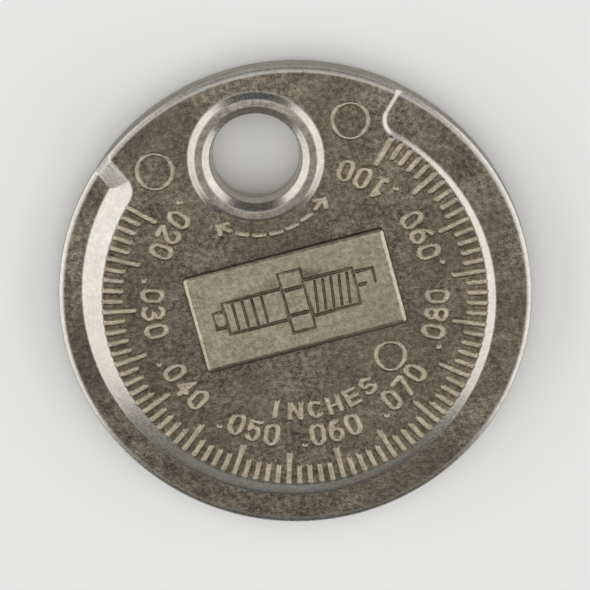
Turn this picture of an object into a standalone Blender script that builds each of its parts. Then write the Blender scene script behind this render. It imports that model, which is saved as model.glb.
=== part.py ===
"""Coin-type spark plug gap gauge: one die-cast disc with a key-ring hole.

The rim is a lip that thickens steadily round most of the disc, so the place where it fills a gap
reads the gap on the scale beside it. Each face is built as a relief. Every outline on it, from the
rim to the strokes of the numbers, is meshed flat in one go, and each point is then lifted to the
height of the surface there. The two faces are bridged round the rim and through the hole.

Metres, +Z up. The gauge lies on its back with the hole towards +Y and its origin under its middle.
"""

import math

import bmesh
import bpy
import numpy as np
from mathutils.geometry import delaunay_2d_cdt

# Disc and lip
DISC_RADIUS = 0.018
HUB_THICKNESS = 0.0030
LIP_WIDTH = 0.00335
RIM_BEVEL_WIDTH = 0.00042
RIM_BEVEL_DROP = 0.0002
WALL_HEIGHT_PER_WIDTH = 0.725
LIP_END_MARGIN = 0.0015
LIP_CORNER_RADIUS = 0.00145
THIN_END_SLANT = math.radians(20)

# Scale: 0.020 to 0.100 inch over three quarters of a turn, with inches on the front, millimetres on the back
SMALLEST_GAP = 0.000508
LARGEST_GAP = 0.00254
SCALE_SWEEP = math.radians(270)
INCH = 0.0254
INCH_TICK_STEP = 0.0000254
INCH_TICKS_PER_LONG = 5
INCH_TICKS_PER_LABEL = 10
MILLIMETRE = 0.001
METRIC_TICK_STEP = 0.00005
METRIC_TICKS_PER_LONG = 2
METRIC_TICKS_PER_LABEL = 4

# Raised ticks
TICK_SETBACK = 0.0001
TICK_LENGTH = 0.0014
LONG_TICK_LENGTH = 0.0024
TICK_WIDTH = 0.0003
TICK_FLANK = 0.00015
TICK_RELIEF = 0.0002

# Raised numbers and unit words, measured between the middles of their strokes
LABEL_SETBACK = 0.0006
LABEL_HEIGHT = 0.0015
INCH_LABEL_WIDTH = 0.00085
INCH_LABEL_PITCH = 0.0014
METRIC_LABEL_WIDTH = 0.00075
METRIC_LABEL_PITCH = 0.0013
UNIT_SETBACK = 0.0007
UNIT_HEIGHT = 0.00115
UNIT_WIDTH = 0.0009
UNIT_PITCH = 0.0015
LETTER_STROKE = 0.0002
LETTER_FLANK = 0.00012
LETTER_RELIEF = 0.00018
DOT_SHARE_OF_PITCH = 0.5

# Hole with its raised ring
THROAT_RADIUS = 0.0033
THROAT_LAND = 0.0003
FUNNEL_RADIUS = 0.00345
FUNNEL_DEPTH = 0.0005
RING_CREST_RADIUS = 0.00433
RING_CREST_WIDTH = 0.00055
RING_BASE_RADIUS = 0.00515
RING_SETBACK = 0.00145

# Pad, cast to the same height as the ring, so that the gauge lies flat on both
PAD_LENGTH = 0.0154
PAD_WIDTH = 0.0073
PAD_FLANK = 0.0002
PAD_RELIEF = 0.00045

# Plug picture engraved in the front pad
PICTURE_LENGTH = 0.0126
GROOVE_WIDTH = 0.00036
GROOVE_DEPTH = 0.00015

# Thin rings that the ejector pins leave on the front
PIN_RING_RADIUS = 0.00135
LOWER_PIN_RING_RADIUS = 0.0011
PIN_RING_WIDTH = 0.00036
PIN_RING_RELIEF = 0.00013
UPPER_PIN_SETBACK = 0.0021
UPPER_PIN_ANGLE = math.radians(148.5)
LOWER_PIN_DISTANCE = 0.0085
LOWER_PIN_ANGLE = math.radians(44)

# Dashed arrow under the ring, for the way an electrode is bent against it
ARROW_SETBACK = 0.0008
ARROW_SWEEP = math.radians(88)
ARROW_DASHES = 7
ARROW_DASH_SHARE = 0.55
ARROW_HEAD = 0.0007

# How finely curves are divided, and what counts as a sharp edge
DISC_SEGMENTS = 120
HOLE_SEGMENTS = 48
CORNER_STEPS = 5
PIN_RING_SEGMENTS = 20
LETTER_ARC_STEP = 45
CAP_POINTS = 3
MERGE = 1e-8
ROUNDING = 1e-6
SHARPEST_CORNER = 1e-5
SHARP_EDGE = math.radians(20)

WALL_RADIUS = DISC_RADIUS - LIP_WIDTH
HALF_THICKNESS = HUB_THICKNESS / 2
MIDDLE_HEIGHT = HALF_THICKNESS + PAD_RELIEF
HOLE_CENTRE = np.array((0.0, DISC_RADIUS - RING_SETBACK - RING_BASE_RADIUS))
LABEL_BASELINE = WALL_RADIUS - TICK_SETBACK - LONG_TICK_LENGTH - LABEL_SETBACK
UNIT_BASELINE = LABEL_BASELINE - LABEL_HEIGHT - UNIT_SETBACK
FRONT, BACK = 1, -1


def polar(radius, angle):
    """A point of the face, with its angle counted from -Y, counterclockwise."""
    return np.stack((radius * np.sin(angle), -radius * np.cos(angle)), axis=-1)


def angle_of(points):
    return np.arctan2(points[..., 0], -points[..., 1])


def scale_angle(gap):
    """Where on the scale the lip is this thick."""
    return ((gap - SMALLEST_GAP) / (LARGEST_GAP - SMALLEST_GAP) - 0.5) * SCALE_SWEEP


def lip_height(angle):
    """Half the lip's thickness, level past the two ends of the scale."""
    share = np.clip(np.asarray(angle) / SCALE_SWEEP + 0.5, 0, 1)
    return (SMALLEST_GAP + share * (LARGEST_GAP - SMALLEST_GAP)) / 2


def wall_run(angle):
    """How far out from its top edge the sloped wall reaches the lip."""
    return (HALF_THICKNESS - lip_height(angle)) / WALL_HEIGHT_PER_WIDTH


# Outline of the lip


def end_line(side):
    """The straight line that ends the lip: its direction outward, the one past it, and its place across.

    It starts at the margin past the scale, radially at the thick end and slanted at the thin end.
    """
    slant = THIN_END_SLANT if side == BACK else 0.0
    angle = side * (SCALE_SWEEP / 2 + slant)
    outward = polar(1.0, angle)
    past = side * np.array((math.cos(angle), math.sin(angle)))
    return outward, past, LIP_END_MARGIN * math.cos(slant) - WALL_RADIUS * math.sin(slant)


def end_point(side, inset, reach):
    """The point at this distance from the disc's centre on the end line moved in."""
    outward, past, place = end_line(side)
    across = place - inset
    return outward * math.sqrt(reach**2 - across**2) + past * across


def corner_centre(side, inset):
    """Centre and radius of the rounded corner at one end, on the line this far in from the wall's top."""
    radius = max(LIP_CORNER_RADIUS - inset, SHARPEST_CORNER)
    outward, past, place = end_line(side)
    across = place - inset - radius
    along = math.sqrt((WALL_RADIUS + inset + radius) ** 2 - across**2)
    return outward * along + past * across, radius


def lip_end(side, inset):
    """The line from the tangent point on the wall's arc, round the corner and out to the rim."""
    centre, radius = corner_centre(side, inset)
    _, past, _ = end_line(side)
    inward = -centre / np.linalg.norm(centre)
    turns = np.linspace(0, 1, CORNER_STEPS)[:, None]
    bends = inward * np.cos(turns * math.pi / 2) + past * np.sin(turns * math.pi / 2)
    bends /= np.linalg.norm(bends, axis=1)[:, None]
    ends = [end_point(side, inset, reach) for reach in (DISC_RADIUS - RIM_BEVEL_WIDTH, DISC_RADIUS)]
    return np.vstack((centre + radius * bends, ends))


def lip_line(run):
    """A line round the whole lip, run(angle) in from the wall's top edge."""
    first = lip_end(BACK, float(run(-SCALE_SWEEP / 2)))[::-1]
    last = lip_end(FRONT, float(run(SCALE_SWEEP / 2)))
    start = float(angle_of(first[-1]))
    stop = float(angle_of(last[0]))
    angles = np.linspace(start, stop, round(DISC_SEGMENTS * (stop - start) / math.tau))[1:-1]
    return np.vstack((first, polar(WALL_RADIUS + run(angles), angles), last))


def rim_circle(radius):
    """A circle by the rim, with a point wherever an end of the lip meets it."""
    angles = list(np.arange(DISC_SEGMENTS) * math.tau / DISC_SEGMENTS - math.pi)
    for side in (BACK, FRONT):
        for inset in (0.0, float(wall_run(side * SCALE_SWEEP / 2))):
            angles.append(float(angle_of(end_point(side, inset, radius))))
    angles = np.sort(angles)
    spaced = np.diff(angles, append=angles[0] + math.tau) > MERGE / radius
    return polar(radius, angles[spaced])


def depth_into_lip(points):
    """How far in from the wall's top edge a point lies. Below 0 it is on the hub."""
    beyond_wall = np.linalg.norm(points, axis=1) - WALL_RADIUS
    depth = beyond_wall.copy()
    for side in (BACK, FRONT):
        outward, past, place = end_line(side)
        centre, radius = corner_centre(side, 0.0)
        near = (points[:, 0] * side > 0) & (points @ outward > 0)
        depth[near] = np.minimum(beyond_wall, place - points @ past)[near]
        away = points - centre
        round_corner = past - centre * (past @ centre) / (centre @ centre)
        in_corner = near & (away @ outward < 0) & (away @ round_corner > 0)
        depth[in_corner] = radius - np.linalg.norm(away[in_corner], axis=1)
    return depth


# Section of the ring round the hole


def ring_section():
    """Distances from the hole's centre and heights over the hub: foot, crest, funnel and drafted bore."""
    to_throat = HALF_THICKNESS - THROAT_LAND / 2
    return np.array((
        (RING_BASE_RADIUS, 0.0),
        (RING_CREST_RADIUS + RING_CREST_WIDTH / 2, PAD_RELIEF),
        (RING_CREST_RADIUS - RING_CREST_WIDTH / 2, PAD_RELIEF),
        (FUNNEL_RADIUS, PAD_RELIEF - FUNNEL_DEPTH),
        (THROAT_RADIUS, -to_throat),
    ))


def circle(centre, radius, segments):
    return centre + polar(radius, np.arange(segments) * math.tau / segments)


# Raised and sunk marks


def sides_of(lines, closed):
    """The start and end point of every side of some lines."""
    for line in lines:
        yield from zip(line, np.roll(line, -1, axis=0) if closed else line[1:])


def distance_to(points, lines, closed):
    nearest = np.full(len(points), np.inf)
    for start, end in sides_of(lines, closed):
        step = end - start
        share = np.clip((points - start) @ step / (step @ step), 0, 1)
        nearest = np.minimum(nearest, np.linalg.norm(points - start - share[:, None] * step, axis=1))
    return nearest


def within(points, loops):
    """Whether each point lies inside an odd number of the closed outlines."""
    odd = np.zeros(len(points), bool)
    for (x0, y0), (x1, y1) in sides_of(loops, True):
        if y0 != y1:
            spans = (points[:, 1] < y0) != (points[:, 1] < y1)
            odd ^= spans & (points[:, 0] < x0 + (points[:, 1] - y0) * (x1 - x0) / (y1 - y0))
    return odd


class Mark:
    """Something raised on a face, or sunk where its relief is below 0, with flanks from crest to foot."""

    def __init__(self, crest, foot, relief, flat=True, crest_closed=True):
        self.crest = crest
        self.foot = foot
        self.relief = relief
        self.flat = flat
        self.crest_closed = crest_closed

    def mirrored(self, mirror):
        crest, foot = ([line * mirror for line in lines] for lines in (self.crest, self.foot))
        return Mark(crest, foot, self.relief, self.flat, self.crest_closed)

    def outlines(self):
        return [(line, self.crest_closed) for line in self.crest] + [(line, True) for line in self.foot]

    def rise(self, points):
        to_crest = distance_to(points, self.crest, self.crest_closed)
        to_foot = distance_to(points, self.foot, True)
        share = np.where(within(points, self.foot), to_foot / (to_crest + to_foot), 0)
        if self.flat:
            share[within(points, self.crest)] = 1
        return self.relief * share


def block(centre, axis, length, width, flank, relief):
    """A raised rectangle with sloped flanks. The size is that of its top."""
    side = np.array((-axis[1], axis[0]))
    corners = np.array(((1, 1), (-1, 1), (-1, -1), (1, -1)))
    loops = []
    for half in (np.array((length, width)) / 2, np.array((length, width)) / 2 + flank):
        offsets = corners * half
        loops.append(centre + offsets[:, :1] * axis + offsets[:, 1:] * side)
    return Mark(loops[:1], loops[1:], relief)


def parallel(path, closed, distance):
    """The path moved to its left. Round the outside of a bend each point keeps its distance."""
    steps = path_steps(path, closed)
    if closed:
        before, after = np.roll(steps, 1, axis=0), steps
    else:
        before, after = np.vstack((steps[:1], steps)), np.vstack((steps, steps[-1:]))
    middle = before + after
    middle /= np.linalg.norm(middle, axis=1)[:, None]
    bend = before[:, 0] * after[:, 1] - before[:, 1] * after[:, 0]
    reach = np.where(bend * distance > 0, 1 / (middle * after).sum(axis=1), 1.0)
    left = np.stack((-middle[:, 1], middle[:, 0]), axis=-1)
    return path + left * (distance * reach)[:, None]


def path_steps(path, closed):
    steps = np.diff(np.vstack((path, path[:1])) if closed else path, axis=0)
    return steps / np.linalg.norm(steps, axis=1)[:, None]


def cap(end, direction, distance):
    """Points round one end of a line, between its two sides."""
    side = np.array((direction[1], -direction[0]))
    turns = np.linspace(0, math.pi, CAP_POINTS)[1:-1, None]
    return end + distance * (side * np.cos(turns) + direction * np.sin(turns))


def around(path, closed, distance):
    """Closed outlines at a distance on both sides of a path."""
    right, left = parallel(path, closed, -distance), parallel(path, closed, distance)
    if closed:
        return [right, left]
    steps = path_steps(path, closed)
    last, first = cap(path[-1], steps[-1], distance), cap(path[0], -steps[0], distance)
    return [np.vstack((right, last, left[::-1], first))]


def ridge(path, closed, width, flank, relief):
    """A line of even width along a path. Where the width is 0 its crest or its bottom is sharp."""
    path = np.asarray(path)
    foot = around(path, closed, width / 2 + flank)
    if width == 0:
        return Mark([path], foot, relief, flat=False, crest_closed=closed)
    return Mark(around(path, closed, width / 2), foot, relief)


# Letters, as strokes in a cell one wide and one high


def bow(x, y, across, up, start, stop):
    """Part of an ellipse, from one angle in degrees to another."""
    count = max(2, math.ceil(abs(stop - start) / LETTER_ARC_STEP) + 1)
    turns = np.radians(np.linspace(start, stop, count))
    return np.stack((x + across * np.cos(turns), y + up * np.sin(turns)), axis=-1)


def loop(x, y, across, up):
    return bow(x, y, across, up, 0, 360)[:-1]


def glyph(letter):
    """The strokes of a letter, each a path and whether it is closed."""
    six = [(loop(0.5, 0.3, 0.5, 0.3), True), (((0.0, 0.32), (0.12, 0.72), (0.42, 0.96), (0.8, 1.0)), False)]
    if letter == "0":
        return [(np.vstack((bow(0.5, 0.68, 0.5, 0.32, 0, 180), bow(0.5, 0.32, 0.5, 0.32, 180, 360))), True)]
    if letter == "6":
        return six
    if letter == "9":
        return [(1 - np.array(path), closed) for path, closed in six]
    if letter == "8":
        return [(loop(0.5, 0.76, 0.42, 0.24), True), (loop(0.5, 0.26, 0.5, 0.26), True)]
    strokes = {
        ".": [((0.46, 0.0), (0.54, 0.0))],
        "1": [((0.55, 0.0), (0.55, 1.0)), ((0.55, 1.0), (0.2, 0.76)), ((0.25, 0.0), (0.85, 0.0))],
        "2": [np.vstack((bow(0.5, 0.68, 0.5, 0.32, 165, -35), (0.0, 0.0))), ((0.0, 0.0), (1.0, 0.0))],
        "3": [bow(0.45, 0.76, 0.47, 0.24, 150, -90), bow(0.45, 0.26, 0.53, 0.26, 90, -150)],
        "4": [((0.72, 0.0), (0.72, 1.0)), ((0.72, 1.0), (0.0, 0.3)), ((0.0, 0.3), (1.0, 0.3))],
        "5": [((0.92, 1.0), (0.12, 1.0)), ((0.12, 1.0), (0.05, 0.5)), bow(0.46, 0.33, 0.5, 0.33, 140, -150)],
        "7": [((0.0, 1.0), (1.0, 1.0)), ((1.0, 1.0), (0.35, 0.0))],
        "C": [bow(0.55, 0.5, 0.5, 0.5, 50, 310)],
        "E": [((0.05, 0.0), (0.05, 1.0))] + [((0.05, y), (0.9, y)) for y in (0.0, 0.5, 1.0)],
        "H": [((0.05, 0.0), (0.05, 1.0)), ((0.95, 0.0), (0.95, 1.0)), ((0.05, 0.5), (0.95, 0.5))],
        "I": [((0.5, 0.0), (0.5, 1.0))],
        "M": [((x, 0.0), (x, 1.0)) for x in (0.0, 1.0)] + [((x, 1.0), (0.5, 0.3)) for x in (0.0, 1.0)],
        "N": [((0.05, 0.0), (0.05, 1.0)), ((0.05, 1.0), (0.95, 0.0)), ((0.95, 0.0), (0.95, 1.0))],
        "S": [np.vstack((bow(0.5, 0.75, 0.45, 0.25, 30, 270), bow(0.5, 0.25, 0.45, 0.25, 90, -150)[1:]))],
    }
    return [(path, False) for path in strokes[letter]]


def words(text, baseline, middle, height, width, pitch):
    """Ridges for a text that runs counterclockwise with its tops towards the disc's centre."""
    advances = [DOT_SHARE_OF_PITCH if letter == "." else 1.0 for letter in text]
    places = np.cumsum(advances) - np.array(advances) / 2 - sum(advances) / 2
    turn = pitch / (baseline - height / 2)
    for letter, place in zip(text, places):
        angle = middle + place * turn
        up = -polar(1.0, angle)
        along = np.array((math.cos(angle), math.sin(angle)))
        foot = polar(baseline, angle) - width / 2 * along
        for path, closed in glyph(letter):
            local = np.asarray(path)
            points = foot + local[:, :1] * width * along + local[:, 1:] * height * up
            yield ridge(points, closed, LETTER_STROKE, LETTER_FLANK, LETTER_RELIEF)


# Marks of the two faces, as their reader sees them


def tick_places(step):
    """Each whole number of steps that lies on the scale, with its angle."""
    first = math.ceil(SMALLEST_GAP / step - ROUNDING)
    last = math.floor(LARGEST_GAP / step + ROUNDING)
    return [(count, scale_angle(count * step)) for count in range(first, last + 1)]


def tick(angle, length):
    centre = polar(WALL_RADIUS - TICK_SETBACK - TICK_FLANK - length / 2, angle)
    return block(centre, polar(1.0, angle), length, TICK_WIDTH, TICK_FLANK, TICK_RELIEF)


def inch_scale():
    """The lip thickens counterclockwise, as seen from the front."""
    for count, angle in tick_places(INCH_TICK_STEP):
        yield tick(angle, TICK_LENGTH if count % INCH_TICKS_PER_LONG else LONG_TICK_LENGTH)
        if count % INCH_TICKS_PER_LABEL == 0:
            text = f"{count * INCH_TICK_STEP / INCH:.3f}".lstrip("0")
            yield from words(text, LABEL_BASELINE, angle, LABEL_HEIGHT, INCH_LABEL_WIDTH, INCH_LABEL_PITCH)


def metric_scale():
    """The lip thickens clockwise, as seen from the back."""
    for count, angle in tick_places(METRIC_TICK_STEP):
        yield tick(-angle, TICK_LENGTH if count % METRIC_TICKS_PER_LONG else LONG_TICK_LENGTH)
        if count % METRIC_TICKS_PER_LABEL == 0:
            text = f"{count * METRIC_TICK_STEP / MILLIMETRE:.1f}"
            cell = (LABEL_HEIGHT, METRIC_LABEL_WIDTH, METRIC_LABEL_PITCH)
            yield from words(text, LABEL_BASELINE, -angle, *cell)


def bending_arrow():
    """A dashed arc with a head at each end, under the ring round the hole."""
    radius = RING_BASE_RADIUS + ARROW_SETBACK
    pitch = ARROW_SWEEP / ARROW_DASHES
    for count in range(ARROW_DASHES):
        middle = (count - (ARROW_DASHES - 1) / 2) * pitch
        ends = middle + np.array((-0.5, 0.5)) * pitch * ARROW_DASH_SHARE
        yield ridge(HOLE_CENTRE + polar(radius, ends), False, LETTER_STROKE, LETTER_FLANK, LETTER_RELIEF)
    for side in (BACK, FRONT):
        angle = side * ARROW_SWEEP / 2
        tip = HOLE_CENTRE + polar(radius, angle)
        back = -side * np.array((math.cos(angle), math.sin(angle)))
        outward = polar(1.0, angle)
        for slant in (-1, 1):
            barb = tip + ARROW_HEAD * (back + slant * outward) * math.sqrt(0.5)
            yield ridge((tip, barb), False, LETTER_STROKE, LETTER_FLANK, LETTER_RELIEF)


def pin_rings():
    upper = DISC_RADIUS - UPPER_PIN_SETBACK - PIN_RING_RADIUS
    rings = (
        (polar(upper, -UPPER_PIN_ANGLE), PIN_RING_RADIUS),
        (polar(upper, UPPER_PIN_ANGLE), PIN_RING_RADIUS),
        (polar(LOWER_PIN_DISTANCE, LOWER_PIN_ANGLE), LOWER_PIN_RING_RADIUS),
    )
    for place, radius in rings:
        path = circle(place, radius, PIN_RING_SEGMENTS)
        yield ridge(path, True, 0.0, PIN_RING_WIDTH / 2, PIN_RING_RELIEF)


def box_path(left, right, half_height):
    return ((left, -half_height), (right, -half_height), (right, half_height), (left, half_height))


def plug_picture():
    """A side view of a spark plug in grooves, drawn one long and centred on the pad."""
    outlines = [
        box_path(-0.50, -0.43, 0.050),
        box_path(-0.43, -0.06, 0.100),
        box_path(-0.06, 0.08, 0.190),
        box_path(0.08, 0.38, 0.115),
    ]
    ribs = [((x, -0.08), (x, 0.08)) for x in (-0.37, -0.31, -0.25, -0.19)]
    facets = [((-0.04, y), (0.06, y)) for y in (-0.08, 0.08)]
    threads = [((x, -0.09), (x + 0.025, 0.09)) for x in (0.12, 0.17, 0.22, 0.27, 0.32)]
    electrodes = [((0.40, 0.0), (0.44, 0.0)), ((0.40, 0.085), (0.50, 0.085), (0.50, 0.0))]
    paths = [(path, True) for path in outlines]
    paths += [(path, False) for path in ribs + facets + threads + electrodes]
    for path, closed in paths:
        yield ridge(np.array(path) * PICTURE_LENGTH, closed, 0.0, GROOVE_WIDTH / 2, -GROOVE_DEPTH)


def marks(side):
    """Everything raised or sunk on one face, in the disc's own axes."""
    found = [block((0.0, 0.0), (1.0, 0.0), PAD_LENGTH, PAD_WIDTH, PAD_FLANK, PAD_RELIEF)]
    unit = "INCHES" if side == FRONT else "MM"
    found += words(unit, UNIT_BASELINE, 0.0, UNIT_HEIGHT, UNIT_WIDTH, UNIT_PITCH)
    if side == FRONT:
        found += [*inch_scale(), *bending_arrow(), *pin_rings(), *plug_picture()]
    else:
        found += metric_scale()
    return [mark.mirrored((side, 1.0)) for mark in found]


# Faces and solid


def height(points, found):
    """Height of the face over the middle of the disc."""
    depth = np.maximum(depth_into_lip(points), 0)
    level = np.maximum(HALF_THICKNESS - depth * WALL_HEIGHT_PER_WIDTH, lip_height(angle_of(points)))
    level = np.where(depth > 0, level, HALF_THICKNESS)
    into_bevel = np.clip((np.linalg.norm(points, axis=1) - DISC_RADIUS) / RIM_BEVEL_WIDTH + 1, 0, 1)
    level -= RIM_BEVEL_DROP * into_bevel
    raised = np.zeros(len(points))
    sunk = np.zeros(len(points))
    for mark in found:
        rise = mark.rise(points)
        raised = np.maximum(raised, rise)
        sunk = np.minimum(sunk, rise)
    section = ring_section()[::-1]
    from_hole = np.linalg.norm(points - HOLE_CENTRE, axis=1)
    ring = np.interp(from_hole, section[:, 0], section[:, 1])
    return level + raised + sunk + ring


def face(side):
    """Points and triangles of one face, facing out."""
    found = marks(side)
    outlines = [(rim_circle(radius), True) for radius in (DISC_RADIUS, DISC_RADIUS - RIM_BEVEL_WIDTH)]
    outlines += [(lip_line(np.zeros_like), False), (lip_line(wall_run), False)]
    outlines += [(circle(HOLE_CENTRE, radius, HOLE_SEGMENTS), True) for radius, _ in ring_section()]
    for mark in found:
        outlines += mark.outlines()
    points, edges = [], []
    for line, closed in outlines:
        first = len(points)
        points += [tuple(point) for point in line]
        edges += [(first + i, first + i + 1) for i in range(len(line) - 1)]
        if closed:
            edges.append((len(points) - 1, first))
    flat, _, triangles, *_ = delaunay_2d_cdt(points, edges, [], 1, MERGE)
    flat = np.array([tuple(point) for point in flat])
    triangles = np.array(triangles)
    from_hole = np.linalg.norm(flat[triangles].mean(axis=1) - HOLE_CENTRE, axis=1)
    triangles = triangles[from_hole > THROAT_RADIUS * math.cos(math.pi / HOLE_SEGMENTS)]
    lifted = np.column_stack((flat, MIDDLE_HEIGHT + side * height(flat, found)))
    return lifted, triangles if side == FRONT else triangles[:, ::-1]


def gauge_mesh():
    """Both faces, bridged round the rim and through the hole."""
    shape = bmesh.new()
    for side in (BACK, FRONT):
        points, triangles = face(side)
        used = {int(i): shape.verts.new(points[i]) for i in np.unique(triangles)}
        for corners in triangles:
            shape.faces.new([used[int(i)] for i in corners])
    open_edges = [edge for edge in shape.edges if edge.is_boundary]
    throat, rim = [], []
    for edge in open_edges:
        reach = np.linalg.norm(np.array(edge.verts[0].co[:2]) - HOLE_CENTRE)
        (throat if reach < RING_CREST_RADIUS else rim).append(edge)
    for loops in (throat, rim):
        bmesh.ops.bridge_loops(shape, edges=loops)
    bmesh.ops.triangulate(shape, faces=shape.faces)
    mesh = bpy.data.meshes.new("gauge_disc")
    shape.to_mesh(mesh)
    shape.free()
    mesh.shade_smooth()
    mesh.set_sharp_from_angle(angle=SHARP_EDGE)
    return mesh


def cast_metal():
    material = bpy.data.materials.new("plated_zinc")
    material.use_nodes = True
    shader = material.node_tree.nodes["Principled BSDF"]
    shader.inputs["Base Color"].default_value = (0.36, 0.31, 0.25, 1)
    shader.inputs["Metallic"].default_value = 1.0
    shader.inputs["Roughness"].default_value = 0.42
    return material


def main():
    for thing in list(bpy.data.objects):
        bpy.data.objects.remove(thing)
    gauge = bpy.data.objects.new("gauge_disc", gauge_mesh())
    gauge.data.materials.append(cast_metal())
    bpy.context.scene.collection.objects.link(gauge)


main()
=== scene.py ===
"""Studio view of a coin-type spark plug gap gauge, lying on its back.

The gauge is one die casting, so one finely meshed piece replaces the frame's solid. Each face is a relief:
its outlines are meshed flat and lifted, with rounded crests, filleted feet and a rounded rim. Every point
also stores which finish it has, and where it gets painted shade and a painted sheen. Metres, +Z up, the
hole towards +Y, as in the frame.
"""

import copy
import math

import bpy
import numpy as np
from mathutils import Matrix, Vector
from mathutils.geometry import delaunay_2d_cdt


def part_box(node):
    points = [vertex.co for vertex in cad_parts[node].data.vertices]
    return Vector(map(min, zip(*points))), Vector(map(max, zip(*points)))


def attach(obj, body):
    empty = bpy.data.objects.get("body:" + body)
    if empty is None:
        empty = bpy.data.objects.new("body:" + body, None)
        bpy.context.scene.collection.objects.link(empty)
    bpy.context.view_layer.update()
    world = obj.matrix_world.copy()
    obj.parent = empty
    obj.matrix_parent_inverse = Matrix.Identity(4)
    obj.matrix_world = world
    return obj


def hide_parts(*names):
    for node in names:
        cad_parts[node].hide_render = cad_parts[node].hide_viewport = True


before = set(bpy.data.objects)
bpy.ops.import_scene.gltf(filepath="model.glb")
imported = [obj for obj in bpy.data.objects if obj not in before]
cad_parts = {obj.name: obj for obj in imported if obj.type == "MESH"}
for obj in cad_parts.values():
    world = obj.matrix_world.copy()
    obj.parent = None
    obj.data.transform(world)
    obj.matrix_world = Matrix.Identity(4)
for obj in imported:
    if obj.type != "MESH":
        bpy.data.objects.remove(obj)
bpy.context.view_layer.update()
lowest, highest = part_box("gauge_disc")

# Disc and lip
DISC_RADIUS = highest.x
MIDDLE_HEIGHT = (lowest.z + highest.z) / 2
PAD_RELIEF = 0.00045
HALF_THICKNESS = highest.z - MIDDLE_HEIGHT - PAD_RELIEF
LIP_WIDTH = 0.00335
WALL_HEIGHT_PER_WIDTH = 0.725
WALL_ROUNDING = 0.00008
LIP_END_MARGIN = 0.0015
LIP_CORNER_RADIUS = 0.00145
THIN_END_SLANT = math.radians(20)
RIM_EDGE_WIDTH = 0.00046
RIM_EDGE_DROP = 0.0002
RIM_EDGE_POWER = 1.5

# Sides of the rim and of the hole's throat: a shoulder by each face, and the mould's parting line between
SHOULDER = 0.00004
PARTING_RIDGE = 0.00002
PARTING_HALF_WIDTH = 0.00004
MOST_OF_SIDE = 1 / 6  # most of a side's height that a shoulder or half the line takes

# Scale over three quarters of a turn, in inches on the front and in millimetres on the back
SMALLEST_GAP = 0.000508
LARGEST_GAP = 0.00254
SCALE_SWEEP = math.radians(270)
INCH = 0.0254
INCH_TICK_STEP = 0.0000254
INCH_TICKS_PER_LONG = 5
INCH_TICKS_PER_LABEL = 10
MILLIMETRE = 0.001
METRIC_TICK_STEP = 0.00005
METRIC_TICKS_PER_LONG = 2
METRIC_TICKS_PER_LABEL = 4

# Raised ticks, with round ends
TICK_SETBACK = 0.0001
TICK_LENGTH = 0.0014
LONG_TICK_LENGTH = 0.0024
TICK_CREST = 0.00012
TICK_FOOT = 0.0003
TICK_RELIEF = 0.0002

# Raised numbers and unit words, measured between the middles of their strokes
LABEL_SETBACK = 0.0006
LABEL_HEIGHT = 0.0015
INCH_LABEL_WIDTH = 0.00085
INCH_LABEL_PITCH = 0.0014
METRIC_LABEL_WIDTH = 0.00075
METRIC_LABEL_PITCH = 0.0013
UNIT_SETBACK = 0.0007
UNIT_HEIGHT = 0.00115
UNIT_WIDTH = 0.0009
UNIT_PITCH = 0.0015
LETTER_CREST = 0.00007
LETTER_FOOT = 0.00026
LETTER_RELIEF = 0.00018
DOT_SHARE_OF_PITCH = 0.5

# Hole with its raised ring
THROAT_RADIUS = 0.0033
THROAT_LAND = 0.0003
FUNNEL_RADIUS = 0.00345
FUNNEL_DEPTH = 0.0005
FUNNEL_ROUNDING = 0.00016
RING_CREST_RADIUS = 0.00433
RING_CREST_WIDTH = 0.00055
RING_BASE_RADIUS = 0.00515
RING_SETBACK = 0.00145
RING_FOOT_ROUNDING = 0.00006
RING_CREST_ROUNDING = 0.00008

# Pad
PAD_LENGTH = 0.0154
PAD_WIDTH = 0.0073
PAD_CORNER = 0.0002
PAD_CHAMFER = 0.00028
PAD_CHAMFER_SLOPE = 0.7
PAD_FLANK_SLOPE = 2.6
PAD_ROUNDING = 0.00009

# Plug picture engraved in the front pad
PICTURE_LENGTH = 0.0126
GROOVE_WIDTH = 0.00036
GROOVE_DEPTH = 0.00015

# Thin rings that the ejector pins leave on the front
PIN_RING_RADIUS = 0.00135
LOWER_PIN_RING_RADIUS = 0.0011
PIN_RING_CREST = 0.00004
PIN_RING_FOOT = 0.0002
PIN_RING_RELIEF = 0.00015
UPPER_PIN_SETBACK = 0.0021
UPPER_PIN_ANGLE = math.radians(148.5)
LOWER_PIN_DISTANCE = 0.0085
LOWER_PIN_ANGLE = math.radians(44)

# Dashed arrow under the ring
ARROW_SETBACK = 0.0008
ARROW_SWEEP = math.radians(88)
ARROW_DASHES = 7
ARROW_DASH_SHARE = 0.55
ARROW_HEAD = 0.0007

# Where the metal is worn bright, with a painted sheen at the pad's edges, as shares of the pad's height, the
# rim's rounded edge and full brightness
PAD_EDGE_START = (0.3, 0.6)
PAD_EDGE_END = (0.93, 1.0)
RIM_FADE = 0.4
RIM_SIDE_BRIGHTNESS = 0.4
RING_CREST_DULLNESS = 0.75

# How finely curves are divided
DISC_SEGMENTS = 360
HOLE_SEGMENTS = 128
RIM_STEPS = 6
WALL_STEPS = 2
WALL_LINES = 5
CREASE_STEPS = 4
FLANK_STEPS = 16
CONE_STEPS = 10
BORE_STEPS = 8
CORNER_STEPS = 14
EDGE_STEPS = 5
PAD_EDGE_STEPS = 18
PIN_RING_SEGMENTS = 48
LETTER_ARC_STEP = 15
CAP_POINTS = 7
PAD_CORNER_POINTS = 4

# Tolerances, and how far outside a mark's foot a last outline keeps the face beside it flat
FLAT_MARGIN = 0.00004
MERGE = 1e-8
ON_OUTLINE = 1e-6
ROUNDING = 1e-6
SHARPEST_CORNER = 1e-5

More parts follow.
